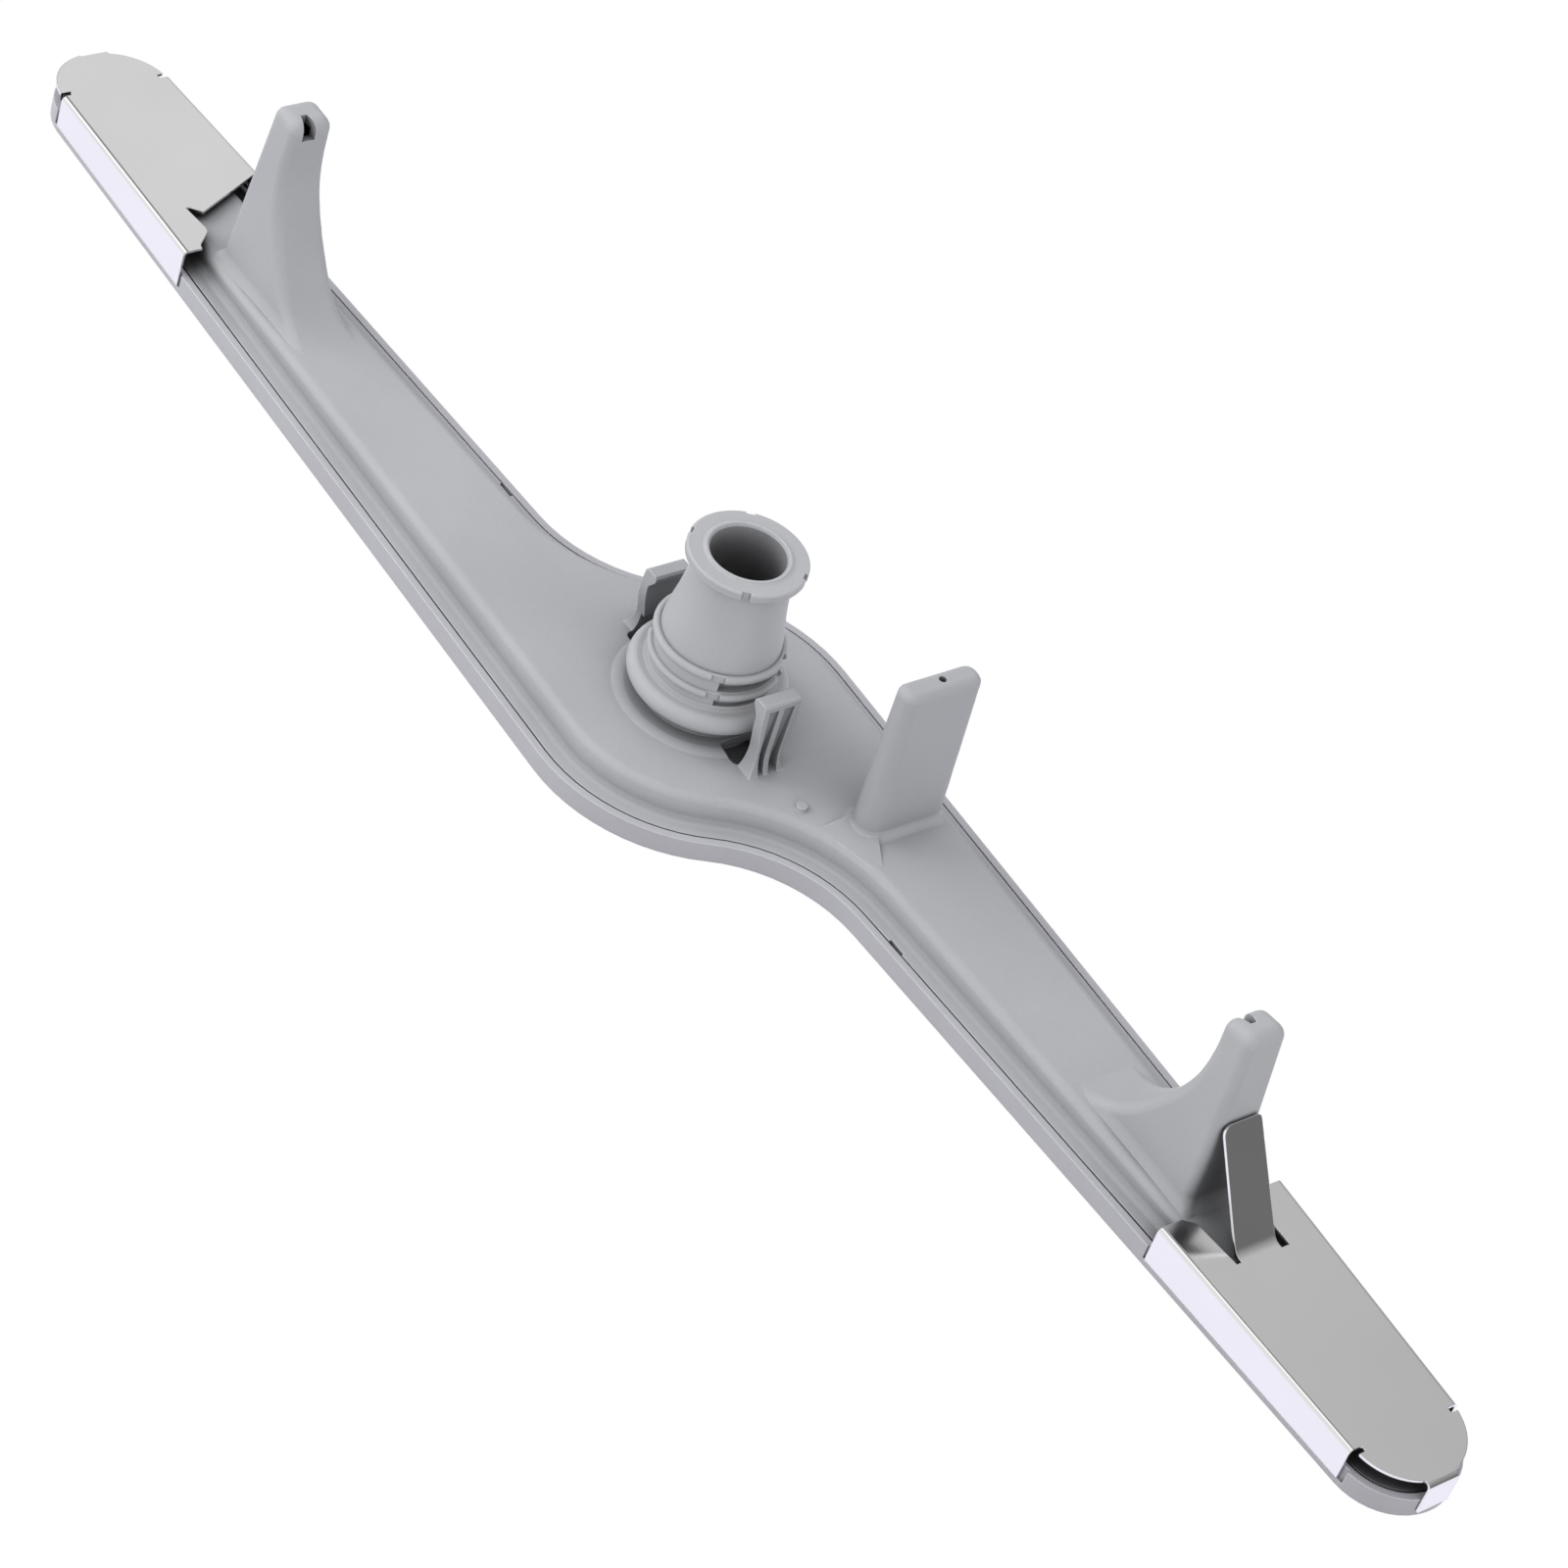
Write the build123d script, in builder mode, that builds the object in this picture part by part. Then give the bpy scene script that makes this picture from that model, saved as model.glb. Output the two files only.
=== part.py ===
from build123d import *
import math
import os

# Dishwasher spray arm, seen with its inlet hub upward. All sizes in millimetres.
# The origin is on the hub axis, on the underside of the arm. X runs along the arms, Z up.

# plan of the arm: a round hub with two arms set off to either side of its axis
HUB_R = 41.6
ARM_OFFSET = 18.8
TAPER = math.radians(2.0)
TIP_X = 242.9
REVERSE_R = 36.0

# moulded shell
WALL_T = 1.75
FLOOR_T = 1.8
RIM_Z = 5.7
LEDGE_Z = 3.7
LEDGE_W = 1.7
SEAM_GAP = 0.45
RECESS_X = 166.4
RECESS_END_X = 230.3
RECESS_Z = 2.0
RECESS_D = 0.75

# cover and water channel
CHANNEL_FOOT = 6.2
CHANNEL_LEAN = 0.28
CHANNEL_TOP = 11.5
CHANNEL_DROP = 3.2
DROP_AT = 233.0
COVER_T = 1.8
SHOULDER_R = 2.0
FOOT_R = 2.2

# rotating inlet sleeve
HUB_HOLE_R = 11.85
NECK_R = 11.8
SPIGOT_R = 10.8
BORE_R = 8.7
SLEEVE_TOP = 54.0
SLEEVE_BOTTOM = 7.0
COLLAR_R = 14.6
COLLAR_TOP = 15.0
BASE_RING_R = 18.4
BASE_RING_Z = 15.2
FLANGE_R = 13.75
NOTCH_ANGLE = 37.0

# folded steel end plates
SHEET_T = 0.7
PLATE_IN_X = 167.2
PLATE_END_X = 228.8
PLATE_Z = 12.4
PLATE_SIDE = -0.3
PLATE_SLOPE = 0.022
FLANGE_Z = 2.4
BEND_R = 1.4
TAB_X = 179.0
TAB_Y0 = 12.9
TAB_TAPER = 0.8
TAB_Y1 = 23.9
TAB_LEAN = math.atan2(15.7, 21.1)
TAB_LENGTH = 27.8

# nozzle towers
TOWER_R = 2.8
TOWER_EDGE_R = 2.3
TOWER_DRAFT = 0.09
FOOT_FLARE = 2.6
RIGHT_TOP = 57.1
RIGHT_TOP_FALL = 1.3
RIGHT_MID = 19.3
RIGHT_OUT = 160.2
RIGHT_IN = 151.6
RIGHT_BACK = 0.9
LEFT_TOP = 57.8
LEFT_TOP_FALL = 0.3
LEFT_MID = 18.7
LEFT_OUT = 161.9
LEFT_IN = 152.5
LEFT_BACK = 0.6
MIDDLE_TOP = 52.4
MIDDLE_X = 47.2
MIDDLE_Y = 19.0
FIN_FOOT_R = 2.0

# upright clips beside the hub
CLIP_W = 9.8
CLIP_TOP = 30.5
LEFT_CLIP_SHIFT = 1.3
STEP_R = 19.0
STEP_TOP = 12.05

os.makedirs("parts", exist_ok=True)


def arm_outline(inset):
    # plan outline of the whole arm, moved inward by the given distance
    sin_t = math.sin(TAPER)
    cos_t = math.cos(TAPER)
    tan_t = math.tan(TAPER)
    hub_r = HUB_R - inset
    half_w = hub_r / cos_t - ARM_OFFSET
    full_half_w = HUB_R / cos_t - ARM_OFFSET
    tip_c = (TIP_X - full_half_w * cos_t) / (1 - sin_t)
    tip_r = TIP_X - tip_c - inset
    turn_r = REVERSE_R + inset
    near_y = ARM_OFFSET - half_w
    p = turn_r * sin_t
    q = near_y - turn_r * cos_t
    a = 1 + tan_t * tan_t
    b = 2 * (p + tan_t * q)
    c = p * p + q * q - (hub_r + turn_r) ** 2
    x = (-b + math.sqrt(b * b - 4 * a * c)) / (2 * a)
    turn_c = Vector(x + p, tan_t * x + q)
    start = Vector(hub_r * sin_t, hub_r * cos_t)
    far_tip = Vector(tip_c + tip_r * sin_t, ARM_OFFSET + tip_r * cos_t)
    tip = Vector(tip_c + tip_r, ARM_OFFSET)
    near_tip = Vector(tip_c + tip_r * sin_t, ARM_OFFSET - tip_r * cos_t)
    near_turn = Vector(x, near_y + tan_t * x)
    hub_turn = turn_c * (hub_r / (hub_r + turn_r))
    turn_mid_dir = ((near_turn - turn_c).normalized() + (hub_turn - turn_c).normalized()).normalized()
    turn_mid = turn_c + turn_mid_dir * turn_r
    hub_mid_dir = (hub_turn.normalized() + (start * -1).normalized()).normalized()
    hub_mid = hub_mid_dir * hub_r
    with BuildSketch(Plane.XY) as outline:
        with BuildLine():
            for s in (1, -1):
                Line(start * s, far_tip * s)
                ThreePointArc(far_tip * s, tip * s, near_tip * s)
                Line(near_tip * s, near_turn * s)
                ThreePointArc(near_turn * s, turn_mid * s, hub_turn * s)
                ThreePointArc(hub_turn * s, hub_mid * s, start * -s)
        make_face()
    return outline.sketch


def channel_height(x):
    # height of the channel's crown along the arm
    return CHANNEL_TOP - CHANNEL_DROP * (x / DROP_AT) ** 2


def plate_height(x):
    # height of the steel plate's upper face along the arm
    return PLATE_Z - PLATE_SLOPE * (abs(x) - 168.0)


def crown_space(drop):
    # everything above the gently curved crown of the channel, lowered by the given distance
    z_end = channel_height(250.0) - drop
    with BuildPart() as space:
        with BuildSketch(Plane.XZ.offset(-60)):
            with BuildLine():
                ThreePointArc((-250, z_end), (0, CHANNEL_TOP - drop), (250, z_end))
                Line((250, z_end), (250, 30))
                Line((250, 30), (-250, 30))
                Line((-250, 30), (-250, z_end))
            make_face()
        extrude(amount=120)
    return space.part


def plate_space(drop):
    # the space above the right plate's sloping face, lowered by the given distance
    z0 = plate_height(150.0) - drop
    z1 = plate_height(260.0) - drop
    with BuildPart() as space:
        with BuildSketch(Plane.XZ.offset(-60)):
            with BuildLine():
                Polyline((150, z0), (260, z1), (260, 40), (150, 40), close=True)
            make_face()
        extrude(amount=120)
    return space.part


def tower(side, front, x_span, y_span):
    # a drafted hollow stem: its side view drawn out along Y, kept inside its front view
    with BuildPart() as stem:
        with BuildSketch(Plane.XZ.offset(-y_span)):
            add(side)
        extrude(amount=2 * y_span)
        with BuildSketch(Plane.YZ.offset(-x_span)):
            add(front)
        extrude(amount=2 * x_span, mode=Mode.INTERSECT)
    return stem.part


def outer_side(x_out, x_in, back, wall, top, top_fall):
    # side view of an outer tower: straight outer face, hub side sweeping down into the channel
    x_sweep = x_in + back
    with BuildSketch(Plane.XY) as view:
        with BuildLine():
            foot = (x_sweep - 27.0 + 2.5 * wall, 10.4 - 1.0 * wall)
            mid = (x_sweep - 9.8 + 1.4 * wall, 20.8 - 0.8 * wall)
            high = (x_sweep - 2.2 + wall, 35.0 - 0.3 * wall)
            neck = (x_in + wall + 0.6 * back, 48.0)
            knee = (x_out + TOWER_DRAFT * (top - 13.5) - wall, 13.5)
            Spline(foot, mid, high, neck, tangents=[(1, 0.03), (0.01, 1)])
            Line(neck, (x_in + wall, top - top_fall))
            Line((x_in + wall, top - top_fall), (x_out - wall, top))
            Line((x_out - wall, top), knee)
            TangentArc(knee, (knee[0] + FOOT_FLARE, 9.7), tangent=(TOWER_DRAFT, -1))
            Line((knee[0] + FOOT_FLARE, 9.7), (knee[0] + FOOT_FLARE, 6.0))
            Line((knee[0] + FOOT_FLARE, 6.0), (foot[0], 6.0))
            Line((foot[0], 6.0), foot)
        make_face()
    return view.sketch


def outer_front(mid, half_low, half_high, top, flare):
    # front view of an outer tower: narrower at the top, spreading again where it meets the channel
    y_foot = half_low - flare * 0.35
    with BuildSketch(Plane.XY) as view:
        with BuildLine():
            for s in (1, -1):
                high = mid + s * half_high
                low = 19.0 + s * y_foot
                spread = low + s * flare
                Line((high, top), (low, 13.0))
                TangentArc((low, 13.0), (spread, 9.0), tangent=(low - high, 13.0 - top))
                Line((spread, 9.0), (spread, 6.0))
            Line((mid - half_high, top), (mid + half_high, top))
            Line((19.0 - y_foot - flare, 6.0), (19.0 + y_foot + flare, 6.0))
        make_face()
    return view.sketch


# the raised channel as a closed body
with BuildPart() as channel_body:
    with BuildSketch(Plane.XY.offset(LEDGE_Z)):
        add(arm_outline(CHANNEL_FOOT - 2.0 * CHANNEL_LEAN))
    with BuildSketch(Plane.XY.offset(LEDGE_Z + 12.0)):
        add(arm_outline(CHANNEL_FOOT + 10.0 * CHANNEL_LEAN))
    loft(ruled=True)
    add(crown_space(0.0), mode=Mode.SUBTRACT)

# the same body a wall's thickness smaller, for the water way
with BuildPart() as channel_hollow:
    with BuildSketch(Plane.XY.offset(LEDGE_Z)):
        add(arm_outline(CHANNEL_FOOT + 1.3))
    with BuildSketch(Plane.XY.offset(LEDGE_Z + 12.0)):
        add(arm_outline(CHANNEL_FOOT + 1.3 + 12.0 * CHANNEL_LEAN))
    loft(ruled=True)
    add(crown_space(COVER_T), mode=Mode.SUBTRACT)

# outer tower of the right arm, solid, and its inside
with BuildPart() as right_tower:
    right_side = outer_side(RIGHT_OUT, RIGHT_IN, RIGHT_BACK, 0.0, RIGHT_TOP, RIGHT_TOP_FALL)
    add(tower(right_side, outer_front(RIGHT_MID, 8.1, 5.3, RIGHT_TOP, 2.0), 260, 60))
    fillet(right_tower.edges().filter_by(lambda e: e.bounding_box().size.Z > 20), radius=TOWER_EDGE_R)
    fillet(right_tower.faces().sort_by(Axis.Z)[-1].edges(), radius=TOWER_R)

with BuildPart() as right_duct:
    right_inside = outer_side(RIGHT_OUT, RIGHT_IN, RIGHT_BACK, 2.0, RIGHT_TOP - 2.4, RIGHT_TOP_FALL)
    add(tower(right_inside, outer_front(RIGHT_MID, 6.6, 3.3, 56.5, 0.2), 260, 60))

# outer tower of the left arm, the same shape turned about the hub
with BuildPart() as left_tower:
    left_side = outer_side(LEFT_OUT, LEFT_IN, LEFT_BACK, 0.0, LEFT_TOP, LEFT_TOP_FALL)
    add(tower(left_side, outer_front(LEFT_MID, 8.1, 5.3, LEFT_TOP, 2.0), 260, 60))
    fillet(left_tower.edges().filter_by(lambda e: e.bounding_box().size.Z > 20), radius=TOWER_EDGE_R)
    fillet(left_tower.faces().sort_by(Axis.Z)[-1].edges(), radius=TOWER_R)

with BuildPart() as left_duct:
    left_inside = outer_side(LEFT_OUT, LEFT_IN, LEFT_BACK, 2.0, LEFT_TOP - 2.4, LEFT_TOP_FALL)
    add(tower(left_inside, outer_front(LEFT_MID, 6.6, 3.3, 56.5, 0.2), 260, 60))

# middle tower, a drafted fin with softly rounded corners, and its inside
with BuildPart() as middle_tower:
    with BuildSketch(Plane.XY.offset(8.0)):
        with Locations((MIDDLE_X + 0.9, MIDDLE_Y + 1.2)):
            RectangleRounded(8.4, 23.2, 4.1)
    with BuildSketch(Plane.XY.offset(MIDDLE_TOP)):
        with Locations((MIDDLE_X, MIDDLE_Y)):
            RectangleRounded(6.2, 20.8, 2.6)
    loft(ruled=True)
    fillet(middle_tower.faces().sort_by(Axis.Z)[-1].edges(), radius=2.0)

with BuildPart() as middle_duct:
    with BuildSketch(Plane.XY.offset(8.0)):
        with Locations((MIDDLE_X + 0.9, MIDDLE_Y + 1.2)):
            RectangleRounded(4.8, 19.6, 2.3)
    with BuildSketch(Plane.XY.offset(MIDDLE_TOP - 2.2)):
        with Locations((MIDDLE_X, MIDDLE_Y)):
            RectangleRounded(2.8, 17.2, 1.3)
    loft(ruled=True)

# one clip, upright beside the hub: its nose toward the axis, three gussets on its outer face,
# waisted in front view and spreading again at the foot
with BuildPart() as clip:
    with BuildSketch(Plane.XZ.offset(-CLIP_W)):
        with BuildLine():
            Polyline(
                (25.2, 16.5),
                (24.4, CLIP_TOP - 2.5),
                (24.2, CLIP_TOP - 0.5),
                (23.7, CLIP_TOP),
                (20.8, CLIP_TOP),
                (20.3, CLIP_TOP - 0.5),
                (20.4, 28.9),
                (22.1, 26.5),
                (22.3, 8.0),
                (28.0, 8.0),
                (28.0, 10.8),
            )
            Spline((28.0, 10.8), (26.2, 12.6), (25.2, 16.5), tangents=[(-1, 0.2), (-0.1, 1)])
        make_face()
    extrude(amount=2 * CLIP_W)
    with BuildSketch(Plane.YZ.offset(23.6)):
        Polygon((-3.4, CLIP_TOP - 1.8), (-0.7, CLIP_TOP - 1.8), (-1.7, 8.0), (-2.8, 8.0), align=None)
        Polygon((0.7, CLIP_TOP - 1.8), (3.5, CLIP_TOP - 1.8), (1.9, 8.0), (-0.4, 8.0), align=None)
    extrude(amount=10, mode=Mode.SUBTRACT)
    with BuildSketch(Plane.YZ.offset(18.0)):
        with BuildLine():
            Spline((CLIP_W / 2, CLIP_TOP - 3.5), (2.9, 15.0), (4.6, 11.0), tangents=[(0, -1), (1, -0.6)])
            Polyline((4.6, 11.0), (4.6, 8.0), (-6.1, 8.0), (-6.1, 11.0))
            Spline((-6.1, 11.0), (-4.0, 15.0), (-CLIP_W / 2, CLIP_TOP - 3.5), tangents=[(1, 0.6), (0, 1)])
            Polyline(
                (-CLIP_W / 2, CLIP_TOP - 3.5),
                (-CLIP_W / 2, CLIP_TOP),
                (CLIP_W / 2, CLIP_TOP),
                (CLIP_W / 2, CLIP_TOP - 3.5),
            )
        make_face()
    extrude(amount=12, mode=Mode.INTERSECT)

# low ramp rising from the channel's shoulder to the near face of the middle tower
with BuildPart() as fin_ramp:
    with BuildSketch(Plane.XY.offset(9.8)):
        Polygon((44.7, 1.2), (44.7, 12.0), (52.0, 12.0), (60.5, 7.6), (60.5, 6.2), align=None)
    extrude(amount=6)
    split(bisect_by=Plane(origin=(45.0, 1.5, 11.37), z_dir=(0.06, -0.13, 1.0)), keep=Keep.BOTTOM)

# the lid: margin, channel, hub collar, towers and clips, all one hollow moulding
with BuildPart() as top_cover:
    with BuildSketch(Plane.XY.offset(LEDGE_Z)):
        add(arm_outline(WALL_T + SEAM_GAP))
    extrude(amount=RIM_Z - LEDGE_Z)
    add(channel_body.part)
    margin = top_cover.faces().filter_by(Axis.Z).filter_by(lambda f: abs(f.center().Z - RIM_Z) < 0.01)
    fillet(margin[0].inner_wires()[0].edges(), radius=FOOT_R)
    crown = top_cover.faces().filter_by(lambda f: abs(f.center().Z - CHANNEL_TOP) < 0.2).sort_by(SortBy.AREA)
    fillet(crown[-1].outer_wire().edges(), radius=SHOULDER_R)
    # soft round swelling about the hub and the collar that carries the sleeve
    with BuildSketch(Plane.XZ):
        with BuildLine():
            Polyline((STEP_R + 3.6, 10.6), (10.0, 10.6), (10.0, STEP_TOP), (STEP_R - 1.2, STEP_TOP))
            Spline(
                (STEP_R - 1.2, STEP_TOP),
                (STEP_R + 0.9, STEP_TOP - 0.35),
                (STEP_R + 3.6, 10.6),
                tangents=[(1, 0), (0.9, -0.4)],
            )
        make_face()
    revolve(axis=Axis.Z)
    with BuildSketch(Plane.XY.offset(CHANNEL_TOP - 1.0)):
        Circle(COLLAR_R)
    extrude(amount=COLLAR_TOP - CHANNEL_TOP + 1.0)
    add(right_tower.part)
    add(left_tower.part, rotation=(0, 0, 180))
    add(middle_tower.part)
    fin_foot = top_cover.edges().filter_by(
        lambda e: abs(e.center().Z - 11.2) < 0.7 and abs(e.center().X - MIDDLE_X) < 7 and abs(e.center().Y - 20) < 13.5
    )
    fillet(fin_foot, radius=FIN_FOOT_R)
    add(fin_ramp.part)
    # water way
    add(channel_hollow.part, mode=Mode.SUBTRACT)
    add(right_duct.part, mode=Mode.SUBTRACT)
    add(left_duct.part, rotation=(0, 0, 180), mode=Mode.SUBTRACT)
    add(middle_duct.part, mode=Mode.SUBTRACT)
    # nozzle mouths: a slot widening over the hub side edge of each outer tower, a round jet in the middle one
    for turn, x_in, y_jet, top in ((0, RIGHT_IN, 18.3, RIGHT_TOP), (180, LEFT_IN, 19.7, LEFT_TOP)):
        with BuildSketch(Plane.XY.offset(top - 4.9).rotated((0, 0, turn))):
            Polygon(
                (x_in - 1.0, y_jet - 2.1),
                (x_in + 4.0, y_jet - 0.8),
                (x_in + 4.0, y_jet + 0.8),
                (x_in - 1.0, y_jet + 2.1),
                align=None,
            )
        extrude(amount=8, mode=Mode.SUBTRACT)
    with Locations((MIDDLE_X - 0.3, MIDDLE_Y + 0.6, MIDDLE_TOP - 2.0)):
        Cylinder(0.95, 8.0, mode=Mode.SUBTRACT)
    # hub hole
    with BuildSketch(Plane.XY):
        Circle(HUB_HOLE_R)
    extrude(amount=30, mode=Mode.SUBTRACT)
    # clips and the tool openings below their noses
    add(clip.part)
    with Locations(Location((LEFT_CLIP_SHIFT, 0, 0), (0, 0, 180))):
        add(clip.part)
    with BuildSketch(Plane.XY.offset(7.5)):
        with Locations((18.6, 0), (-18.6, 0)):
            RectangleRounded(7.0, CLIP_W + 2.2, 1.6)
    extrude(amount=9.0, mode=Mode.SUBTRACT)
    # moulding gate pip
    with BuildSketch(Plane.XY.offset(CHANNEL_TOP - 0.8)):
        with Locations((38.3, 0.9)):
            Circle(1.7)
    extrude(amount=1.6, taper=15)
    # prising notches in the lid's edge
    with Locations((76.9, 0.6, RIM_Z), (-76.9, -0.6, RIM_Z)):
        Box(4.6, 1.8, 3.0, mode=Mode.SUBTRACT)
    # low rests under the steel plates, with their tops on the plate's slope
    for turn in (0, 180):
        with BuildPart(mode=Mode.PRIVATE) as rests:
            with Locations((192.0, ARM_OFFSET, 9.0), (218.0, ARM_OFFSET, 9.0)):
                Box(1.6, 9.0, 8.0)
            add(plate_space(SHEET_T), mode=Mode.SUBTRACT)
            add(channel_hollow.part, mode=Mode.SUBTRACT)
        add(rests.part, rotation=(0, 0, turn))

# the tray: floor, wall and the ledge the lid lies on
with BuildPart() as lower_shell:
    with BuildSketch(Plane.XY):
        add(arm_outline(0.0))
    extrude(amount=RIM_Z)
    fillet(lower_shell.faces().sort_by(Axis.Z)[0].edges(), radius=0.9)
    with BuildSketch(Plane.XY.offset(LEDGE_Z)):
        add(arm_outline(WALL_T))
    extrude(amount=5, mode=Mode.SUBTRACT)
    with BuildSketch(Plane.XY.offset(FLOOR_T)):
        add(arm_outline(WALL_T + LEDGE_W))
    extrude(amount=5, mode=Mode.SUBTRACT)
    # flats let into the wall for the flanges of the steel plates
    for turn in (0, 180):
        with BuildPart(mode=Mode.PRIVATE) as recess:
            with BuildSketch(Plane.XY.offset(RECESS_Z)):
                with Locations(((RECESS_X + RECESS_END_X) / 2, ARM_OFFSET)):
                    Rectangle(RECESS_END_X - RECESS_X, 60)
                with Locations((TIP_X, ARM_OFFSET - 0.6)):
                    Rectangle(1.4, 9.0)
                with Locations((TIP_X - 20, ARM_OFFSET)):
                    Rectangle(38.6, 10, mode=Mode.SUBTRACT)
            extrude(amount=10)
            with BuildSketch(Plane.XY):
                add(arm_outline(RECESS_D))
            extrude(amount=20, mode=Mode.SUBTRACT)
            with BuildSketch(Plane.XY.offset(RECESS_Z)):
                with Locations((TIP_X, ARM_OFFSET - 0.6)):
                    Rectangle(1.5, 9.0)
            extrude(amount=10)
        add(recess.part, rotation=(0, 0, turn), mode=Mode.SUBTRACT)
    # fan jets through the floor, two to an arm, and a drain hole near each tip
    for turn in (0, 180):
        for x, lean in ((92.0, 25.0), (128.0, -25.0)):
            with BuildSketch(Plane.XY.rotated((0, 0, turn))):
                with Locations(Location((x, ARM_OFFSET), lean)):
                    SlotOverall(9.0, 2.0)
            extrude(amount=5, mode=Mode.SUBTRACT)
        with BuildSketch(Plane.XY.rotated((0, 0, turn))):
            with Locations((222.0, ARM_OFFSET)):
                Circle(1.2)
        extrude(amount=5, mode=Mode.SUBTRACT)

# the inlet sleeve, turned about the hub axis
with BuildPart() as inlet_sleeve:
    with BuildSketch(Plane.XZ):
        with BuildLine():
            Polyline(
                (BORE_R, SLEEVE_TOP - 0.6),
                (BORE_R + 0.5, SLEEVE_TOP),
                (BORE_R + 1.0, SLEEVE_TOP),
                (BORE_R + 1.4, SLEEVE_TOP - 0.4),
                (FLANGE_R - 0.3, SLEEVE_TOP - 0.4),
                (FLANGE_R, SLEEVE_TOP - 0.7),
                (FLANGE_R, SLEEVE_TOP - 2.4),
                (FLANGE_R - 0.3, SLEEVE_TOP - 2.7),
                (11.4, SLEEVE_TOP - 2.8),
                (11.3, SLEEVE_TOP - 4.0),
            )
            Spline((11.3, SLEEVE_TOP - 4.0), (12.5, 37.7), (13.7, 30.0), tangents=[(0.02, -1), (0.05, -1)])
            ThreePointArc((13.7, 30.0), (15.25, 29.0), (14.2, 28.0))
            Line((14.2, 28.0), (14.2, 25.0))
            ThreePointArc((14.2, 25.0), (15.35, 24.0), (14.4, 23.0))
            Line((14.4, 23.0), (14.4, 20.8))
            Polyline((14.4, 20.8), (15.4, 20.2), (16.6, 20.0))
            ThreePointArc((16.6, 20.0), (BASE_RING_R, 17.8), (17.0, BASE_RING_Z))
            Polyline(
                (17.0, BASE_RING_Z),
                (NECK_R, BASE_RING_Z),
                (NECK_R, 9.4),
                (SPIGOT_R, 9.4),
                (SPIGOT_R, SLEEVE_BOTTOM),
                (BORE_R, SLEEVE_BOTTOM),
                (BORE_R, SLEEVE_TOP - 0.6),
            )
        make_face()
    revolve(axis=Axis.Z)
    # bayonet pockets between the ribs on the two sides facing the clips
    for turn in (0, 180):
        for z_low, height, depth in ((25.2, 2.6, 12.2), (21.1, 1.7, 13.2)):
            with BuildSketch(Plane.XY.offset(z_low)):
                Circle(16.5)
                Circle(depth, mode=Mode.SUBTRACT)
                with Locations(Location((0, 0), turn)):
                    Polygon((0, 0), (30, -20.5), (40, 0), (30, 24.5), align=None, mode=Mode.INTERSECT)
            extrude(amount=height, mode=Mode.SUBTRACT)
    # gaps in the ribs and notches in the top flange, at the same four headings
    for angle in (NOTCH_ANGLE, 180 - NOTCH_ANGLE, 180 + NOTCH_ANGLE, -NOTCH_ANGLE):
        heading = math.radians(angle)
        with Locations(Location((16.15 * math.cos(heading), 16.15 * math.sin(heading), 26.6), (0, 0, angle))):
            Box(3.4, 3.2, 7.6, mode=Mode.SUBTRACT)
        with Locations(Location((14.2 * math.cos(heading), 14.2 * math.sin(heading), 53.0), (0, 0, angle))):
            Box(2.6, 2.0, 4.2, mode=Mode.SUBTRACT)

# ring that keeps the sleeve in the hub, pressed on its lower end against the shoulder
with BuildPart() as retaining_ring:
    with BuildSketch(Plane.XY.offset(7.4)):
        Circle(14.2)
        Circle(SPIGOT_R, mode=Mode.SUBTRACT)
    extrude(amount=2.0)
    chamfer(retaining_ring.edges().filter_by(GeomType.CIRCLE).sort_by(SortBy.RADIUS)[-2:], length=0.4)


def plate_body(inset, drop, x_start, radius):
    # an arm end as a solid cap, sloping on top, rounded along its upper edge
    with BuildPart() as body:
        with BuildSketch(Plane.XY.offset(FLANGE_Z)):
            add(arm_outline(inset))
            with Locations((x_start + 50, 0)):
                Rectangle(100, 120, mode=Mode.INTERSECT)
        extrude(amount=20)
        add(plate_space(drop), mode=Mode.SUBTRACT)
        top = body.faces().filter_by(lambda f: f.normal_at().Z > 0.99)[0]
        rim = top.edges().filter_by(lambda e: e.center().X > x_start + 0.5)
        fillet(rim, radius=radius)
    return body.part


# folded sheet over an arm end: top, two side flanges and a short tip flange
with BuildPart() as plate_blank:
    add(plate_body(PLATE_SIDE, 0.0, PLATE_IN_X, BEND_R))
    add(plate_body(PLATE_SIDE + SHEET_T, SHEET_T, PLATE_IN_X - 5.0, BEND_R - SHEET_T), mode=Mode.SUBTRACT)
    # beyond the side flanges only the flat top goes on, with a small relief notch at each side
    with BuildSketch(Plane.XY):
        with Locations((PLATE_END_X + 10, ARM_OFFSET)):
            Rectangle(20, 50)
    extrude(amount=20, mode=Mode.SUBTRACT)
    with BuildPart(mode=Mode.PRIVATE) as tip_sheet:
        with BuildSketch(Plane.XY):
            add(arm_outline(1.0))
            with Locations((PLATE_END_X + 11.3, ARM_OFFSET)):
                Rectangle(20, 50, mode=Mode.INTERSECT)
            with Locations((PLATE_END_X + 1.0, ARM_OFFSET)):
                Rectangle(3.0, 24.0)
        extrude(amount=20)
        add(plate_space(0.0), mode=Mode.SUBTRACT)
        add(plate_space(SHEET_T), mode=Mode.INTERSECT)
    add(tip_sheet.part)
    # tip flange, a flat tongue folded down
    with BuildSketch(Plane.XZ.offset(-(ARM_OFFSET + 3.5))):
        with BuildLine() as fold:
            edge_x = TIP_X + 0.1 - SHEET_T / 2
            FilletPolyline(
                (TIP_X - 4.0, plate_height(TIP_X - 4.0) - SHEET_T / 2),
                (edge_x, plate_height(edge_x) - SHEET_T / 2),
                (edge_x, FLANGE_Z),
                radius=1.2,
            )
        trace(line_width=SHEET_T)
    extrude(amount=8.2)

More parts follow.
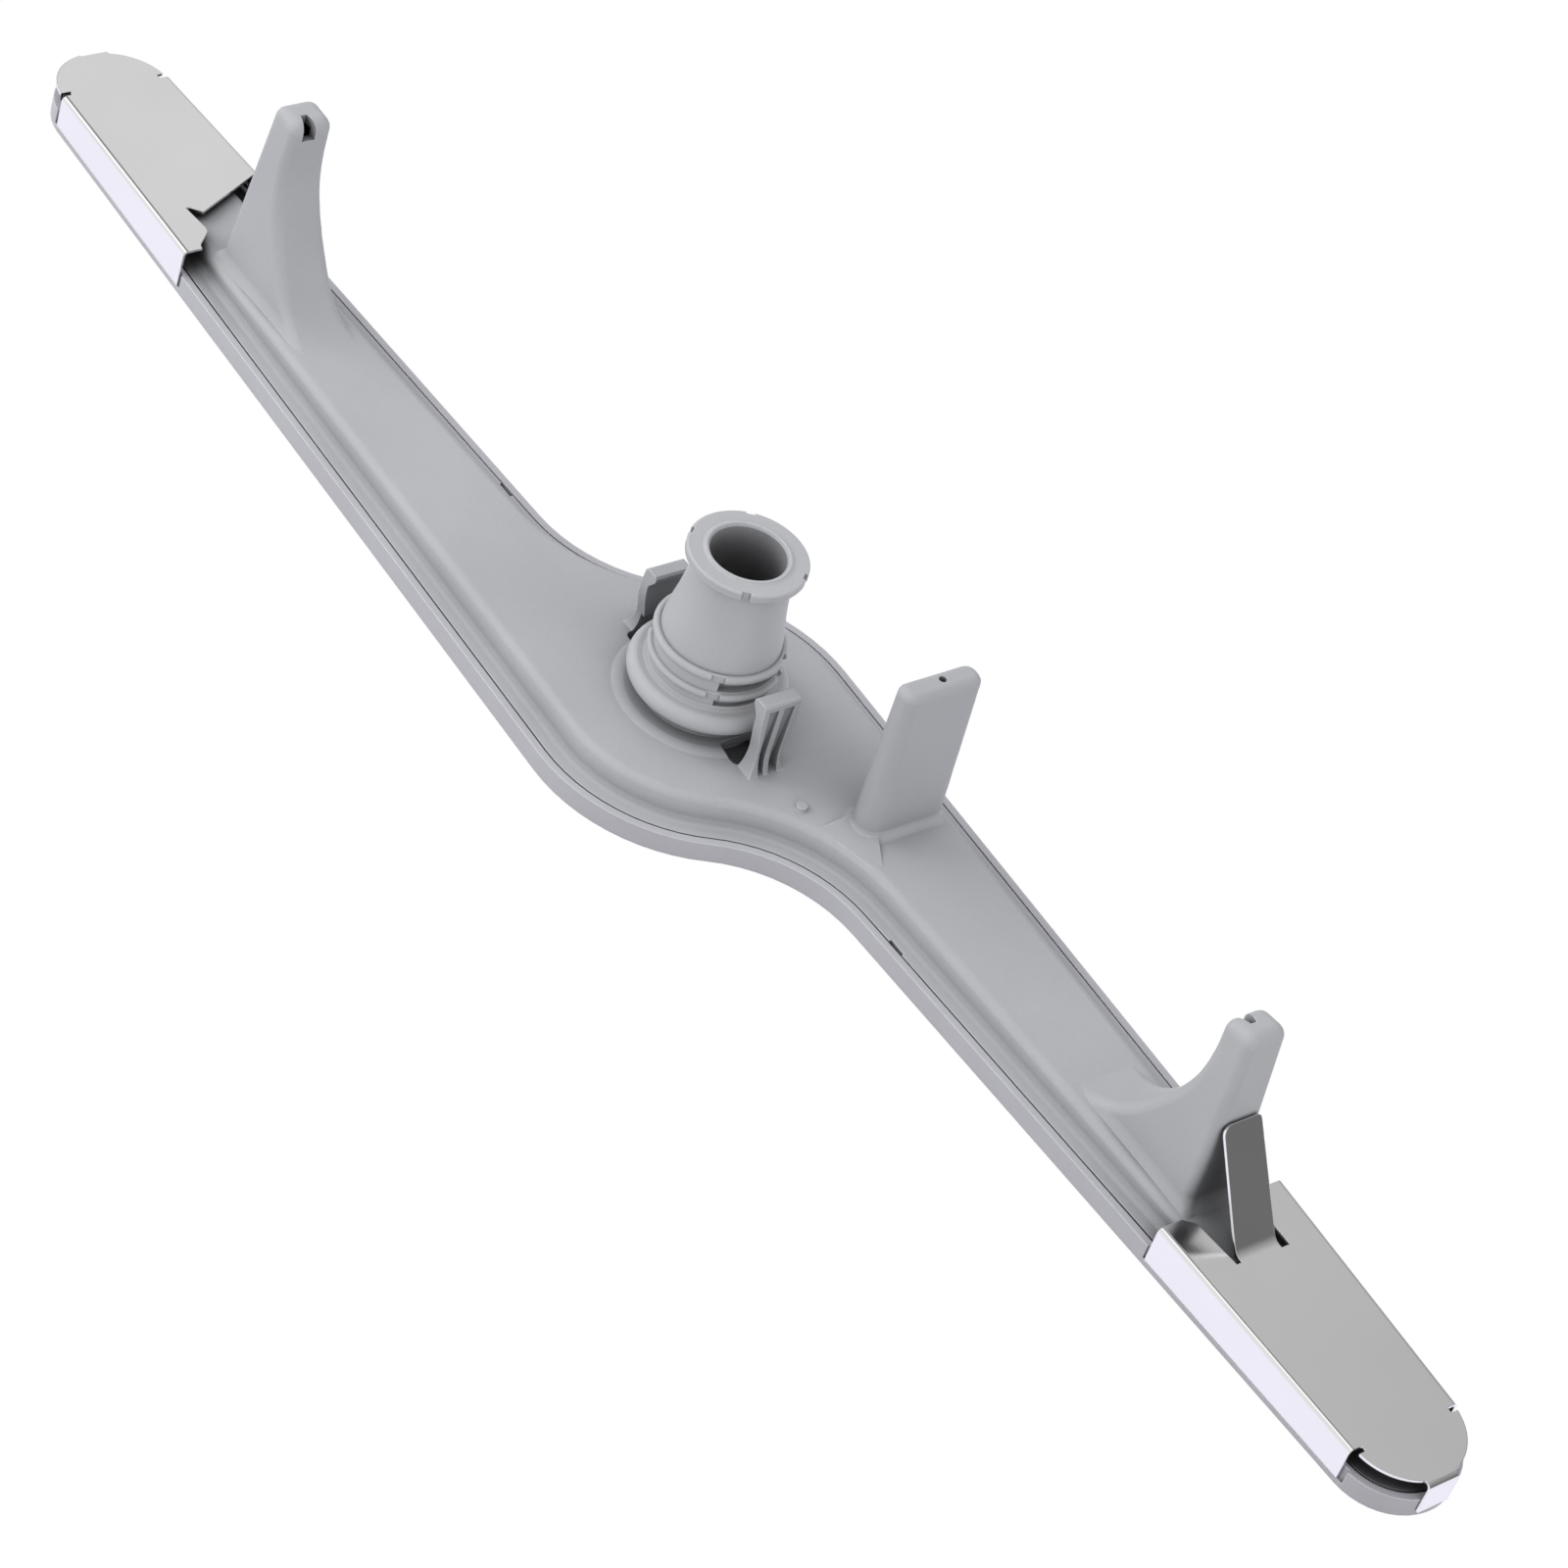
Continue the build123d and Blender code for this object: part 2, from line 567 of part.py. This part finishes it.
with BuildPart() as right_end_plate:
    add(plate_blank.part)
    # opening left where the tab was sheared free, with a relief slot on each side
    with BuildSketch(Plane.XY):
        with BuildLine():
            FilletPolyline((160, 7.6), (167.2, 7.6), (169.6, 10.2), (181.4, 11.6), radius=1.4)
            Polyline((181.4, 11.6), (181.4, 13.2), (TAB_X + 0.4, TAB_Y0), (160, TAB_Y0), (160, 7.6))
        make_face()
        with Locations(((160 + TAB_X) / 2, (TAB_Y0 + TAB_Y1) / 2)):
            Rectangle(TAB_X - 160, TAB_Y1 - TAB_Y0 + 1.0)
        with Locations((171, TAB_Y1 + 1.1)):
            Rectangle(21.4, 2.2)
    extrude(amount=20, mode=Mode.SUBTRACT)
    tab_foot = plate_height(TAB_X) - SHEET_T / 2
    with BuildSketch(Plane.XZ.offset(-TAB_Y1)):
        with BuildLine():
            FilletPolyline(
                (TAB_X + 3.5, plate_height(TAB_X + 3.5) - SHEET_T / 2),
                (TAB_X + 0.4, plate_height(TAB_X + 0.4) - SHEET_T / 2),
                (TAB_X + 0.4 - TAB_LENGTH * math.sin(TAB_LEAN), tab_foot + TAB_LENGTH * math.cos(TAB_LEAN)),
                radius=3.0,
            )
        trace(line_width=SHEET_T)
    extrude(amount=TAB_Y1 - TAB_Y0)
    with BuildSketch(Plane.YZ.offset(TAB_X - 30)):
        Polygon((TAB_Y0, 16.0), (TAB_Y0 + TAB_TAPER, 40.0), (TAB_Y0 - 5.0, 40.0), (TAB_Y0 - 5.0, 16.0), align=None)
    extrude(amount=40, mode=Mode.SUBTRACT)
    tab_corners = right_end_plate.edges().filter_by(lambda e: e.center().Z > 33 and e.length < 1.0)
    fillet(tab_corners.sort_by(Axis.Y)[0], radius=2.5)
    tab_corners = right_end_plate.edges().filter_by(lambda e: e.center().Z > 33 and e.length < 1.0)
    fillet(tab_corners.sort_by(Axis.Y)[-1], radius=1.2)

with BuildPart() as left_end_plate:
    add(plate_blank.part, rotation=(0, 0, 180))
    # its flat tip stands out a little on the near side
    with BuildPart(mode=Mode.PRIVATE) as near_tip:
        with BuildSketch(Plane.XY):
            with Locations((0.3, 0.9)):
                add(arm_outline(0.8))
            with Locations((PLATE_END_X + 11.3, ARM_OFFSET + 15.0)):
                Rectangle(20, 25, mode=Mode.INTERSECT)
        extrude(amount=20)
        add(plate_space(0.0), mode=Mode.SUBTRACT)
        add(plate_space(SHEET_T), mode=Mode.INTERSECT)
    add(near_tip.part, rotation=(0, 0, 180))
    with BuildSketch(Plane.XY):
        with BuildLine():
            FilletPolyline((-160, -31.0), (-168.2, -31.0), (-172.8, -26.0), (-181.9, -26.9), radius=2.4)
            Polyline((-181.9, -26.9), (-181.7, -26.0), (-179.3, -23.5), (-188.4, -4.1), (-185.6, -3.4), (-160, -3.4))
            Line((-160, -3.4), (-160, -31.0))
        make_face()
    extrude(amount=20, mode=Mode.SUBTRACT)

lower_shell.part.label = "lower_shell"
top_cover.part.label = "top_cover"
inlet_sleeve.part.label = "inlet_sleeve"
retaining_ring.part.label = "retaining_ring"
left_end_plate.part.label = "left_end_plate"
right_end_plate.part.label = "right_end_plate"

export_step(lower_shell.part, "parts/lower_shell.step")
export_step(top_cover.part, "parts/top_cover.step")
export_step(inlet_sleeve.part, "parts/inlet_sleeve.step")
export_step(retaining_ring.part, "parts/retaining_ring.step")
export_step(left_end_plate.part, "parts/left_end_plate.step")
export_step(right_end_plate.part, "parts/right_end_plate.step")
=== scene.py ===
import bpy
from mathutils import Matrix, Vector

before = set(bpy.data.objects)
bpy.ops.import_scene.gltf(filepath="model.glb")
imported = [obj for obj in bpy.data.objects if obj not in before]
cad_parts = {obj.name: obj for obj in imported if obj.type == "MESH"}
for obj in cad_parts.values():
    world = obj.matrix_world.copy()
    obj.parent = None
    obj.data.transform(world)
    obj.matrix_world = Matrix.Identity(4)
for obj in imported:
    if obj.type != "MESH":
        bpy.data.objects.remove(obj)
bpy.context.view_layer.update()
scene = bpy.context.scene

# camera fitted to the photograph, in metres and row axes
CAMERA_AT = (0.5498836, -0.5974317, 0.7203012)
CAMERA_RIGHT = (0.5591618, 0.7883614, 0.2565625)
CAMERA_UP = (-0.6700595, 0.2475025, 0.6998305)
CAMERA_LENS = 112.006
SENSOR = 36.0

WHITE = (1.0, 1.0, 1.0, 1.0)

# studio levels: the soft room as the plastics see it, by direction, and the gradient that the steel mirrors
ROOM_RIGHT = 1.02
ROOM_LEFT = 0.65
ROOM_BACK = 0.14
ROOM_UP = 0.62
SKY_TOWARDS = (-0.5, -0.8, 0.3)
SKY_TOP = 2.0
SKY_LEVELS = ((-1.0, 0.04), (-0.75, 0.18), (-0.1, 0.5), (0.1, 0.7), (0.6, 0.95), (1.0, 1.1))
GAP_TOP = 1.5
GAP_LEVELS = (
    (-1.0, 0.8),
    (-0.5, 0.82),
    (-0.32, 1.2),
    (-0.12, 1.25),
    (-0.02, 0.6),
    (0.06, 0.3),
    (0.3, 0.3),
    (0.4, 0.6),
    (0.47, 1.0),
    (1.0, 1.0),
)

# the part of a noise's range that is used, for broad changes and for fine ones
BROAD_SPAN = (0.35, 0.65)
FINE_SPAN = (0.3, 0.7)
# rays for softened edges and for open space
EDGE_SAMPLES = 6
OPEN_SAMPLES = 8

# moulded plastic: noise scales, bumps as strength and distance, radius of the softened edges, and how far
# the painted edge highlight and the specks change the colour
FLOW_SCALE, WAVE_SCALE, SPECK_SCALE, GRAIN_SCALE = 28.0, 60.0, 900.0, 5200.0
WAVE_BUMP = (0.05, 0.0012)
GRAIN_BUMP = (0.05, 0.0001)
PLASTIC_EDGE = 0.00045
EDGE_HIGHLIGHT_LIFT = 0.65
EDGE_ROUND, EDGE_FLAT = 0.85, 0.99
SPECK_LOW, SPECK_HIGH = 0.985, 1.015
GLOSS_SPREAD = 0.04
PLASTIC_SPECULAR = 0.42

# steel sheet: grain lines drawn out along the arm, their bump, and radius of the softened edges
GRAIN_STRETCH = (40.0, 4200.0, 40.0)
CLOUD_SCALE = 18.0
SHEET_BUMP = (0.01, 0.00005)
SHEET_EDGE = 0.0003
SHEET_SPREAD = 0.02

# how far, in metres, a spot looks round for open space
SEAM_REACH = 0.0006
FOOT_REACH = 0.006
TUBE_REACH = 0.018
SHELL_REACH = 0.018
PLATE_REACH = 0.02
NEAR_REACH = 0.035

# painted shade in the hollows of the plastics: the darkest level, and the shares of open space where it
# starts and ends
SEAM_SHADE = (0.05, 0.1, 0.75)
SOFT_SHADE = (0.42, 0.15, 0.86)
DEEP_SHADE = (0.06, 0.22, 0.87)
TUBE_SHADE = (0.06, 0.15, 0.95)
RIB_SHADE = (0.45, 0.1, 0.95)
GROOVE_SHADE = (0.9, 0.35, 1.0)
FOOT_SHADE = (0.15, 0.55, 1.0)
SHELL_SHADE = (0.3, 0.05, 0.8)

# distance along the arm over which the shade of the plates sets in
PLATES_FROM, PLATES_TO = 0.14, 0.16
# distances from the hub axis: from the bore to the sleeve's outside, and from the clips to the channel
BORE_TO, RIBS_FROM = 0.0088, 0.0094
CLIPS_TO, FOOT_FROM = 0.031, 0.035
# height over which the foot of the channel ends
FOOT_TO, FLANK_FROM = 0.0085, 0.0102
# upward part of the normal of a flank: upright faces are below STEEP, level ones above LEVEL
STEEP, SLOPED, TILTED, LEVEL = 0.1, 0.35, 0.8, 0.97

# white card under the part: its size and height, its own grey, and how it glows where it is seen or mirrored
FLOOR_HALF = 3.0
FLOOR_Z = -0.0004
CARD_GREY = (0.5, 0.5, 0.5, 1.0)
CARD_MIRRORED = (0.95, 0.938, 1.04, 1.0)
CARD_GLOW = 1.04
CARD_SHARE = 0.94

LAMP_SIZE = (1.0, 0.7)
LAMP_AIM = (0.0, 0.0, 0.0)


def add_camera():
    data = bpy.data.cameras.new("camera")
    data.lens = CAMERA_LENS
    data.sensor_width = SENSOR
    data.sensor_fit = "HORIZONTAL"
    data.clip_start = 0.05
    data.clip_end = 20.0
    camera = bpy.data.objects.new("camera", data)
    right = Vector(CAMERA_RIGHT).normalized()
    up = Vector(CAMERA_UP).normalized()
    back = right.cross(up).normalized()
    turn = Matrix((right, up, back)).transposed().to_4x4()
    camera.matrix_world = Matrix.Translation(CAMERA_AT) @ turn
    scene.collection.objects.link(camera)
    scene.camera = camera


class Nodes:
    """Adds nodes to one node tree and joins them."""

    def __init__(self, tree):
        self.tree = tree

    def add(self, kind, **values):
        node = self.tree.nodes.new(kind)
        for key, value in values.items():
            setattr(node, key, value)
        return node

    def join(self, out_socket, in_socket):
        self.tree.links.new(out_socket, in_socket)


def new_material(name):
    material = bpy.data.materials.new(name)
    material.use_nodes = True
    material.node_tree.nodes.clear()
    nodes = Nodes(material.node_tree)
    shader = nodes.add("ShaderNodeBsdfPrincipled")
    out = nodes.add("ShaderNodeOutputMaterial")
    nodes.join(shader.outputs["BSDF"], out.inputs["Surface"])
    return material, nodes, shader


def noise(nodes, vector, scale, detail=2.0, roughness=0.5):
    node = nodes.add("ShaderNodeTexNoise")
    node.inputs["Scale"].default_value = scale
    node.inputs["Detail"].default_value = detail
    node.inputs["Roughness"].default_value = roughness
    nodes.join(vector, node.inputs["Vector"])
    return node.outputs["Fac"]


def ramp(nodes, value, low, high, from_low=0.0, from_high=1.0):
    node = nodes.add("ShaderNodeMapRange")
    node.inputs["From Min"].default_value = from_low
    node.inputs["From Max"].default_value = from_high
    node.inputs["To Min"].default_value = low
    node.inputs["To Max"].default_value = high
    nodes.join(value, node.inputs["Value"])
    return node.outputs["Result"]


def mix_colour(nodes, factor, first, second):
    node = nodes.add("ShaderNodeMix", data_type="RGBA")
    nodes.join(factor, node.inputs[0])
    node.inputs[6].default_value = first
    node.inputs[7].default_value = second
    return node.outputs[2]


def scale_colour(nodes, colour, factor):
    node = nodes.add("ShaderNodeVectorMath", operation="SCALE")
    nodes.join(colour, node.inputs[0])
    nodes.join(factor, node.inputs["Scale"])
    return node.outputs[0]


def combine(nodes, operation, first, second, clamp=False):
    # a calculation with an output and either a second output or a number
    node = nodes.add("ShaderNodeMath", operation=operation, use_clamp=clamp)
    nodes.join(first, node.inputs[0])
    if isinstance(second, float):
        node.inputs[1].default_value = second
    else:
        nodes.join(second, node.inputs[1])
    return node.outputs[0]


def split_axes(nodes, vector):
    node = nodes.add("ShaderNodeSeparateXYZ")
    nodes.join(vector, node.inputs[0])
    return node.outputs


def bumped(nodes, height, normal, strength, distance):
    node = nodes.add("ShaderNodeBump")
    node.inputs["Strength"].default_value = strength
    node.inputs["Distance"].default_value = distance
    nodes.join(height, node.inputs["Height"])
    nodes.join(normal, node.inputs["Normal"])
    return node.outputs["Normal"]


def softened_normal(nodes, radius):
    edge = nodes.add("ShaderNodeBevel", samples=EDGE_SAMPLES)
    edge.inputs["Radius"].default_value = radius
    return edge.outputs["Normal"]


def openness(nodes, reach, own_only):
    # share of the space before a spot that is open within a short reach
    node = nodes.add("ShaderNodeAmbientOcclusion", samples=OPEN_SAMPLES, only_local=own_only)
    node.inputs["Distance"].default_value = reach
    return node.outputs["AO"]


def painted_hollow_shade(nodes, open_share, deepest, dark_at, open_at):
    # painted shade: a colour factor of 1 on open faces, falling to a low level in seams, openings and bores
    tone = nodes.add("ShaderNodeMapRange", interpolation_type="SMOOTHSTEP")
    tone.inputs["From Min"].default_value = dark_at
    tone.inputs["From Max"].default_value = open_at
    tone.inputs["To Min"].default_value = deepest
    tone.inputs["To Max"].default_value = 1.0
    nodes.join(open_share, tone.inputs["Value"])
    return tone.outputs["Result"]


def two_shades(nodes, deep_share, soft, deep):
    # the soft tone, or the deep one where deep_share is 1
    blend = nodes.add("ShaderNodeMix", data_type="FLOAT")
    nodes.join(deep_share, blend.inputs[0])
    nodes.join(soft, blend.inputs[2])
    nodes.join(deep, blend.inputs[3])
    return blend.outputs[0]


def plate_shade(nodes, place):
    # soft shade near other pieces, and deep shade where the steel plates overhang the cover
    along = nodes.add("ShaderNodeMath", operation="ABSOLUTE")
    nodes.join(split_axes(nodes, place)["X"], along.inputs[0])
    near = ramp(nodes, along.outputs[0], 0.0, 1.0, PLATES_FROM, PLATES_TO)
    soft = painted_hollow_shade(nodes, openness(nodes, NEAR_REACH, False), *SOFT_SHADE)
    deep = painted_hollow_shade(nodes, openness(nodes, PLATE_REACH, False), *DEEP_SHADE)
    return two_shades(nodes, near, soft, deep)


def from_hub(nodes, place):
    # distance from the hub axis
    flat = nodes.add("ShaderNodeVectorMath", operation="MULTIPLY")
    nodes.join(place, flat.inputs[0])
    flat.inputs[1].default_value = (1.0, 1.0, 0.0)
    across = nodes.add("ShaderNodeVectorMath", operation="LENGTH")
    nodes.join(flat.outputs[0], across.inputs[0])
    return across.outputs["Value"]


def tube_shade(nodes, place):
    # deep shade down the bore, and a lighter one between the ribs outside
    inside = ramp(nodes, from_hub(nodes, place), 1.0, 0.0, BORE_TO, RIBS_FROM)
    open_share = openness(nodes, TUBE_REACH, True)
    soft = painted_hollow_shade(nodes, open_share, *RIB_SHADE)
    return two_shades(nodes, inside, soft, painted_hollow_shade(nodes, open_share, *TUBE_SHADE))


def foot_shade(nodes, place):
    # shade along the sloping foot of the water channel, lighter on level and upright faces and on the clips
    height = split_axes(nodes, place)["Z"]
    upward = split_axes(nodes, nodes.add("ShaderNodeNewGeometry").outputs["Normal"])["Z"]
    foot = ramp(nodes, height, 1.0, 0.0, FOOT_TO, FLANK_FROM)
    for limit in (
        ramp(nodes, upward, 0.0, 1.0, STEEP, SLOPED),
        ramp(nodes, upward, 1.0, 0.0, TILTED, LEVEL),
        ramp(nodes, from_hub(nodes, place), 0.0, 1.0, CLIPS_TO, FOOT_FROM),
    ):
        foot = combine(nodes, "MULTIPLY", foot, limit)
    open_share = openness(nodes, FOOT_REACH, True)
    soft = painted_hollow_shade(nodes, open_share, *GROOVE_SHADE)
    return two_shades(nodes, foot, soft, painted_hollow_shade(nodes, open_share, *FOOT_SHADE))


def painted_edge_highlight(nodes, bevel_normal):
    # painted highlight: a little lighter along moulded edges, where the softened normal leaves the face's
    # own
    face = nodes.add("ShaderNodeNewGeometry")
    dot = nodes.add("ShaderNodeVectorMath", operation="DOT_PRODUCT")
    nodes.join(bevel_normal, dot.inputs[0])
    nodes.join(face.outputs["Normal"], dot.inputs[1])
    return ramp(nodes, dot.outputs["Value"], 1.0 + EDGE_HIGHLIGHT_LIFT, 1.0, EDGE_ROUND, EDGE_FLAT)


def moulded_plastic(name, colour, colour_b, roughness, shades):
    # satin moulded plastic: faint flow mottling, fine grain, softened edges, painted shade in the hollows
    # and a painted highlight along the edges
    material, nodes, shader = new_material(name)
    place = nodes.add("ShaderNodeTexCoord").outputs["Object"]
    flow = noise(nodes, place, FLOW_SCALE, 3.0, 0.55)
    tone = mix_colour(nodes, ramp(nodes, flow, 0.0, 1.0, *BROAD_SPAN), colour, colour_b)
    edge = softened_normal(nodes, PLASTIC_EDGE)
    # painted shade in seams and narrow gaps, darker where little space is open close by
    painted_seam_shade = painted_hollow_shade(nodes, openness(nodes, SEAM_REACH, False), *SEAM_SHADE)
    tone = scale_colour(nodes, tone, painted_seam_shade)
    # painted shade of each piece, darker where less space is open around a spot
    for shade in shades(nodes, place):
        tone = scale_colour(nodes, tone, shade)
    speck = noise(nodes, place, SPECK_SCALE, 2.0)
    tone = scale_colour(nodes, tone, ramp(nodes, speck, SPECK_LOW, SPECK_HIGH, *FINE_SPAN))
    # painted highlight along the moulded edges
    tone = scale_colour(nodes, tone, painted_edge_highlight(nodes, edge))
    nodes.join(tone, shader.inputs["Base Color"])
    gloss = ramp(nodes, speck, roughness - GLOSS_SPREAD, roughness + GLOSS_SPREAD, *FINE_SPAN)
    nodes.join(gloss, shader.inputs["Roughness"])
    shader.inputs["Specular IOR Level"].default_value = PLASTIC_SPECULAR
    waved = bumped(nodes, noise(nodes, place, WAVE_SCALE, 1.0), edge, *WAVE_BUMP)
    grained = bumped(nodes, noise(nodes, place, GRAIN_SCALE, 2.0), waved, *GRAIN_BUMP)
    nodes.join(grained, shader.inputs["Normal"])
    return material


def cover_shades(nodes, place):
    return foot_shade(nodes, place), plate_shade(nodes, place)


def shell_shades(nodes, place):
    return (painted_hollow_shade(nodes, openness(nodes, SHELL_REACH, True), *SHELL_SHADE),)


def sleeve_shades(nodes, place):
    return (tube_shade(nodes, place),)


def brushed_steel(name, colour, colour_b, roughness):
    # folded stainless sheet: very fine grain lines along the arm, a little uneven in gloss
    material, nodes, shader = new_material(name)
    place = nodes.add("ShaderNodeTexCoord").outputs["Object"]
    stretch = nodes.add("ShaderNodeMapping")
    stretch.inputs["Scale"].default_value = GRAIN_STRETCH
    nodes.join(place, stretch.inputs["Vector"])
    lines = noise(nodes, stretch.outputs["Vector"], 1.0, 2.0, 0.5)
    cloud = noise(nodes, place, CLOUD_SCALE, 2.0)
    tone = mix_colour(nodes, ramp(nodes, cloud, 0.0, 1.0, *BROAD_SPAN), colour, colour_b)
    nodes.join(tone, shader.inputs["Base Color"])
    shader.inputs["Metallic"].default_value = 1.0
    gloss = ramp(nodes, lines, roughness - SHEET_SPREAD, roughness + SHEET_SPREAD, *FINE_SPAN)
    nodes.join(gloss, shader.inputs["Roughness"])
    grained = bumped(nodes, lines, softened_normal(nodes, SHEET_EDGE), *SHEET_BUMP)
    nodes.join(grained, shader.inputs["Normal"])
    return material


def dress(node, material):
    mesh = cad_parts[node].data
    mesh.materials.clear()
    mesh.materials.append(material)


def add_floor():
    # a card that is white where it is seen or mirrored, and a plain grey for the light that it returns
    mesh = bpy.data.meshes.new("floor")
    turns = ((-1, -1), (1, -1), (1, 1), (-1, 1))
    corners = [(x * FLOOR_HALF, y * FLOOR_HALF, FLOOR_Z) for x, y in turns]
    mesh.from_pydata(corners, [], [(0, 1, 2, 3)])
    floor = bpy.data.objects.new("floor", mesh)
    scene.collection.objects.link(floor)
    material = bpy.data.materials.new("floor_white")
    material.use_nodes = True
    material.node_tree.nodes.clear()
    nodes = Nodes(material.node_tree)
    path = nodes.add("ShaderNodeLightPath")
    card = nodes.add("ShaderNodeBsdfDiffuse")
    card.inputs["Color"].default_value = CARD_GREY
    glow = nodes.add("ShaderNodeEmission")
    glow.inputs["Strength"].default_value = CARD_GLOW
    # the card mirrored by the steel is a shade below white, a little cool
    tint = nodes.add("ShaderNodeMix", data_type="RGBA")
    nodes.join(path.outputs["Is Glossy Ray"], tint.inputs[0])
    tint.inputs[6].default_value = WHITE
    tint.inputs[7].default_value = CARD_MIRRORED
    nodes.join(tint.outputs[2], glow.inputs["Color"])
    seen = combine(nodes, "MAXIMUM", path.outputs["Is Camera Ray"], path.outputs["Is Glossy Ray"])
    blend = nodes.add("ShaderNodeMixShader")
    nodes.join(combine(nodes, "MULTIPLY", seen, CARD_SHARE), blend.inputs[0])
    nodes.join(card.outputs[0], blend.inputs[1])
    nodes.join(glow.outputs[0], blend.inputs[2])
    out = nodes.add("ShaderNodeOutputMaterial")
    nodes.join(blend.outputs[0], out.inputs["Surface"])
    mesh.materials.append(material)


def room_light(nodes, place):
    # soft light of the room, as a sum of four broad sides: nothing comes from the front or from below
    axes = split_axes(nodes, place)
    sides = (
        ("X", 1.0, ROOM_RIGHT),
        ("X", -1.0, ROOM_LEFT),
        ("Y", 1.0, ROOM_BACK),
        ("Z", 1.0, ROOM_UP),
    )
    total = None
    for axis, sign, level in sides:
        share = combine(nodes, "MULTIPLY", axes[axis], sign, clamp=True)
        share = combine(nodes, "MULTIPLY", share, level)
        total = share if total is None else combine(nodes, "ADD", total, share)
    return total


def level_curve(nodes, value, top, spots):
    # a level, at most top, along a value that runs from -1 to 1
    node = nodes.add("ShaderNodeFloatCurve")
    curve = node.mapping.curves[0]
    for index, (at, level) in enumerate(spots):
        spot = ((at + 1.0) / 2.0, level / top)
        if index in (0, len(spots) - 1):
            curve.points[0 if index == 0 else -1].location = spot
        else:
            curve.points.new(*spot)
    node.mapping.update()
    nodes.join(ramp(nodes, value, 0.0, 1.0, -1.0, 1.0), node.inputs["Value"])
    return combine(nodes, "MULTIPLY", node.outputs["Value"], top)


def mirrored_light(nodes, place):
    # one broad gradient across the room: brightest in front and to the left, unlit behind the right arm,
    # with a dark gap overhead that draws a thin line along the bends of the steel
    dot = nodes.add("ShaderNodeVectorMath", operation="DOT_PRODUCT")
    nodes.join(place, dot.inputs[0])
    dot.inputs[1].default_value = Vector(SKY_TOWARDS).normalized()
    sky = level_curve(nodes, dot.outputs["Value"], SKY_TOP, SKY_LEVELS)
    gap = level_curve(nodes, split_axes(nodes, place)["Y"], GAP_TOP, GAP_LEVELS)
    return combine(nodes, "MULTIPLY", sky, gap)


def add_world():
    # plain white to the camera, the soft room to the plastics and the gradient to what mirrors
    world = bpy.data.worlds.new("studio")
    scene.world = world
    world.use_nodes = True
    world.node_tree.nodes.clear()
    nodes = Nodes(world.node_tree)
    path = nodes.add("ShaderNodeLightPath")
    place = nodes.add("ShaderNodeTexCoord").outputs["Generated"]
    level = nodes.add("ShaderNodeMix", data_type="FLOAT")
    nodes.join(path.outputs["Is Glossy Ray"], level.inputs[0])
    nodes.join(room_light(nodes, place), level.inputs[2])
    nodes.join(mirrored_light(nodes, place), level.inputs[3])
    soft = nodes.add("ShaderNodeBackground")
    soft.inputs["Color"].default_value = WHITE
    nodes.join(level.outputs[0], soft.inputs["Strength"])
    plain = nodes.add("ShaderNodeBackground")
    plain.inputs["Color"].default_value = WHITE
    plain.inputs["Strength"].default_value = 1.0
    blend = nodes.add("ShaderNodeMixShader")
    nodes.join(path.outputs["Is Camera Ray"], blend.inputs[0])
    nodes.join(soft.outputs[0], blend.inputs[1])
    nodes.join(plain.outputs[0], blend.inputs[2])
    out = nodes.add("ShaderNodeOutputWorld")
    nodes.join(blend.outputs[0], out.inputs["Surface"])


def add_lamp(name, at, power):
    data = bpy.data.lights.new(name, "AREA")
    data.shape = "RECTANGLE"
    data.size, data.size_y = LAMP_SIZE
    data.energy = power
    lamp = bpy.data.objects.new(name, data)
    lamp.location = at
    lamp.rotation_euler = (Vector(LAMP_AIM) - Vector(at)).to_track_quat("-Z", "Y").to_euler()
    # the steel mirrors the room alone, not the lamps
    lamp.visible_glossy = False
    scene.collection.objects.link(lamp)


add_camera()
add_world()
add_floor()
add_lamp("left_side", (-1.1, -0.7, 0.7), 8.7)
add_lamp("front_side", (0.1, -1.4, 0.7), 4.6)

cover = moulded_plastic(
    "cover_plastic", (0.43, 0.44, 0.465, 1.0), (0.46, 0.47, 0.49, 1.0), 0.46, cover_shades
)
shell = moulded_plastic(
    "shell_plastic", (0.475, 0.475, 0.51, 1.0), (0.5, 0.5, 0.54, 1.0), 0.44, shell_shades
)
sleeve = moulded_plastic(
    "sleeve_plastic", (0.465, 0.47, 0.495, 1.0), (0.495, 0.50, 0.52, 1.0), 0.42, sleeve_shades
)
steel = brushed_steel("plate_steel", (0.88, 0.87, 0.88, 1.0), (0.92, 0.91, 0.92, 1.0), 0.15)

dress("top_cover", cover)
dress("lower_shell", shell)
dress("inlet_sleeve", sleeve)
dress("retaining_ring", sleeve)
dress("left_end_plate", steel)
dress("right_end_plate", steel)

scene.view_settings.view_transform = "Standard"
